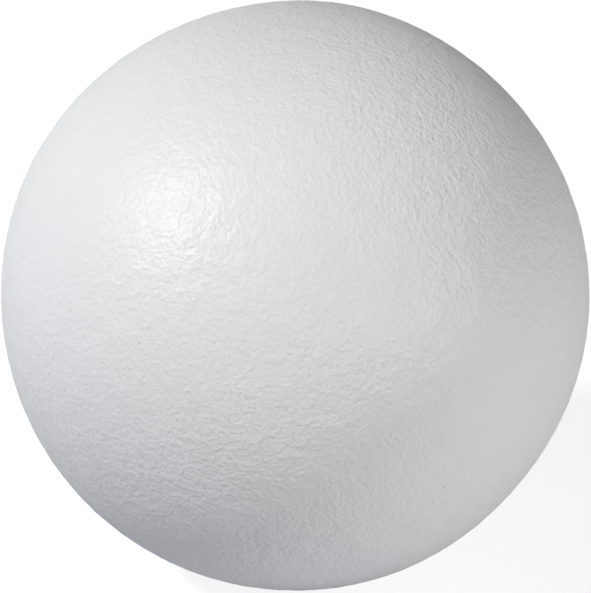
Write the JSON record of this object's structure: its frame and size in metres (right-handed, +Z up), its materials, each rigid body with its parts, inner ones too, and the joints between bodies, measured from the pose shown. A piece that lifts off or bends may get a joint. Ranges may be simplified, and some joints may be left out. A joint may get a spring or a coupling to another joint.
{
  "type": "coated foam volleyball",
  "caption": "Seamless white ball of volleyball size: a solid soft-foam core under a seal coat and a tough, finely grained sprayed skin, for indoor ball games.",
  "frame": {"origin": "middle of the flat patch on which the soft ball rests, so Z = 0 is the floor", "axes": "+Z up through the ball's middle, -Y the front that the picture shows, +Y the back with the air hole"},
  "size_m": [0.21, 0.2099, 0.2095],
  "materials": {
    "foam": "matte",
    "seal_coat": "matte",
    "skin": "satin"
  },
  "bodies": {
    "root": {"foam_core": "foam", "seal_coat": "seal_coat", "skin": "skin"}
  },
  "joints": []
}
